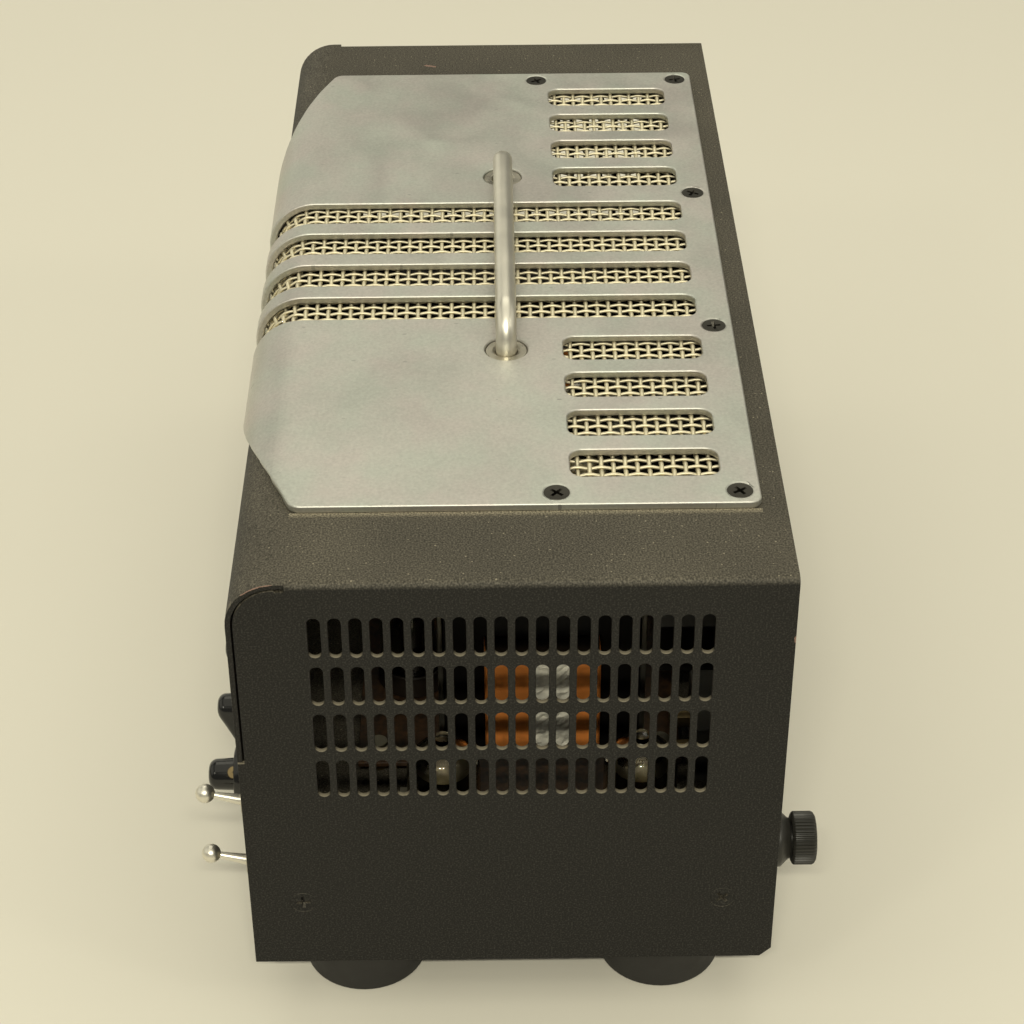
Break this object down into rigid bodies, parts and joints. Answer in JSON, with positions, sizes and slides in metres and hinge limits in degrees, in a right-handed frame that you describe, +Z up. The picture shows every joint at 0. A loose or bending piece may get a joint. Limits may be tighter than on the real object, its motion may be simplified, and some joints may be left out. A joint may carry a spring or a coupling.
{
  "type": "guitar amplifier head",
  "caption": "Compact valve guitar amplifier head: black folded steel case with slotted ends, slotted aluminium grille plate over wire mesh, pull-up chrome handle, pointer knobs and toggles.",
  "frame": {"origin": "on the floor under the middle of the case", "axes": "+X towards the right-hand end seen from the front, -Y towards the front with the controls, +Z up"},
  "size_m": [0.32, 0.1698, 0.1655],
  "materials": {
    "black_powder_coat": "fine-texture powder coat",
    "satin_aluminium": "satin, grained",
    "mesh_wire": "bright drawn wire",
    "black_oxide": "black oxide",
    "chrome_plate": "polished",
    "nickel_plate": "bright",
    "zinc_steel": "zinc plated",
    "foot_rubber": "moulded",
    "knob_phenolic": "gloss, moulded",
    "shaft_metal": "turned",
    "pilot_glass": "faceted",
    "black_nylon": "moulded",
    "clear_glass": "clear",
    "pin_brass": "bright",
    "board_laminate": "phenolic laminate",
    "socket_phenolic": "moulded",
    "anode_metal": "grey carbonised",
    "capacitor_sleeve": "shrink sleeve",
    "core_lamination": "varnished laminations",
    "coil_tape": "varnished tape"
  },
  "bodies": {
    "case": {"chassis_tray": "black_powder_coat", "cover": "black_powder_coat", "top_grille": "satin_aluminium", "wire_mesh": "mesh_wire", "grille_screws": "black_oxide", "cover_screws": "black_oxide", "handle_bushings": "nickel_plate", "rubber_feet": "foot_rubber", "foot_screws": "zinc_steel", "pot_bodies": "zinc_steel", "pot_nuts": "nickel_plate", "toggle_bodies": "nickel_plate", "toggle_nuts": "nickel_plate", "input_jack": "black_nylon", "pilot_bezel": "chrome_plate", "pilot_jewel": "pilot_glass", "fuse_holder": "black_nylon", "fuse_nut": "black_nylon", "mains_inlet": "black_nylon", "inlet_pins": "pin_brass", "inlet_screws": "black_oxide", "speaker_jacks": "black_nylon", "loop_jacks": "black_nylon", "jack_nuts": "nickel_plate", "main_board": "board_laminate", "board_standoffs": "pin_brass", "board_screws": "zinc_steel", "tube_sockets": "socket_phenolic", "preamp_tubes": "clear_glass", "power_tubes": "clear_glass", "tube_plates": "anode_metal", "filter_capacitors": "capacitor_sleeve", "output_core": "core_lamination", "output_coil": "coil_tape", "output_frame": "zinc_steel", "mains_core": "core_lamination", "mains_coil": "coil_tape", "transformer_screws": "zinc_steel"},
    "handle": {"handle_rod": "chrome_plate", "handle_collars": "zinc_steel"},
    "control_1": {"knob_1": "knob_phenolic", "pot_shaft_1": "shaft_metal"},
    "control_2": {"knob_2": "knob_phenolic", "pot_shaft_2": "shaft_metal"},
    "control_3": {"knob_3": "knob_phenolic", "pot_shaft_3": "shaft_metal"},
    "control_4": {"knob_4": "knob_phenolic", "pot_shaft_4": "shaft_metal"},
    "control_5": {"knob_5": "knob_phenolic", "pot_shaft_5": "shaft_metal"},
    "control_6": {"knob_6": "knob_phenolic", "pot_shaft_6": "shaft_metal"},
    "control_7": {"knob_7": "knob_phenolic", "pot_shaft_7": "shaft_metal"},
    "control_8": {"knob_8": "knob_phenolic", "pot_shaft_8": "shaft_metal"},
    "power_switch": {"power_lever": "chrome_plate"},
    "standby_switch": {"standby_lever": "chrome_plate"},
    "fuse_carrier": {"fuse_cap": "black_nylon", "fuse": "clear_glass"}
  },
  "joints": [
    {"name": "handle_slide", "type": "slide", "parent": "case", "child": "handle", "axis": [0, 0, 1], "range_m": [0, 0.028]},
    {"name": "knob_1_turn", "type": "hinge", "parent": "case", "child": "control_1", "pos_m": [0.124, -0.0772, 0.057], "axis": [0, 1, 0], "range_deg": [-13, 287]},
    {"name": "knob_2_turn", "type": "hinge", "parent": "case", "child": "control_2", "pos_m": [0.0965, -0.0772, 0.057], "axis": [0, 1, 0], "range_deg": [-300, 0]},
    {"name": "knob_3_turn", "type": "hinge", "parent": "case", "child": "control_3", "pos_m": [0.069, -0.0772, 0.057], "axis": [0, 1, 0], "range_deg": [-300, 0]},
    {"name": "knob_4_turn", "type": "hinge", "parent": "case", "child": "control_4", "pos_m": [0.0415, -0.0772, 0.057], "axis": [0, 1, 0], "range_deg": [-190, 110]},
    {"name": "knob_5_turn", "type": "hinge", "parent": "case", "child": "control_5", "pos_m": [0.014, -0.0772, 0.057], "axis": [0, 1, 0], "range_deg": [-150, 150]},
    {"name": "knob_6_turn", "type": "hinge", "parent": "case", "child": "control_6", "pos_m": [-0.0135, -0.0772, 0.057], "axis": [0, 1, 0], "range_deg": [-170, 130]},
    {"name": "knob_7_turn", "type": "hinge", "parent": "case", "child": "control_7", "pos_m": [-0.041, -0.0772, 0.057], "axis": [0, 1, 0], "range_deg": [-120, 180]},
    {"name": "knob_8_turn", "type": "hinge", "parent": "case", "child": "control_8", "pos_m": [-0.0685, -0.0772, 0.057], "axis": [0, 1, 0], "range_deg": [-210, 90]},
    {"name": "power_switch_tip", "type": "hinge", "parent": "case", "child": "power_switch", "pos_m": [0.147, -0.072, 0.0678], "axis": [1, 0, 0], "range_deg": [0, 28]},
    {"name": "standby_switch_tip", "type": "hinge", "parent": "case", "child": "standby_switch", "pos_m": [0.147, -0.072, 0.0456], "axis": [1, 0, 0], "range_deg": [0, 28]},
    {"name": "fuse_cap_turn", "type": "hinge", "parent": "case", "child": "fuse_carrier", "pos_m": [0.146, 0.08, 0.0506], "axis": [0, 1, 0], "range_deg": [0, 90]}
  ]
}
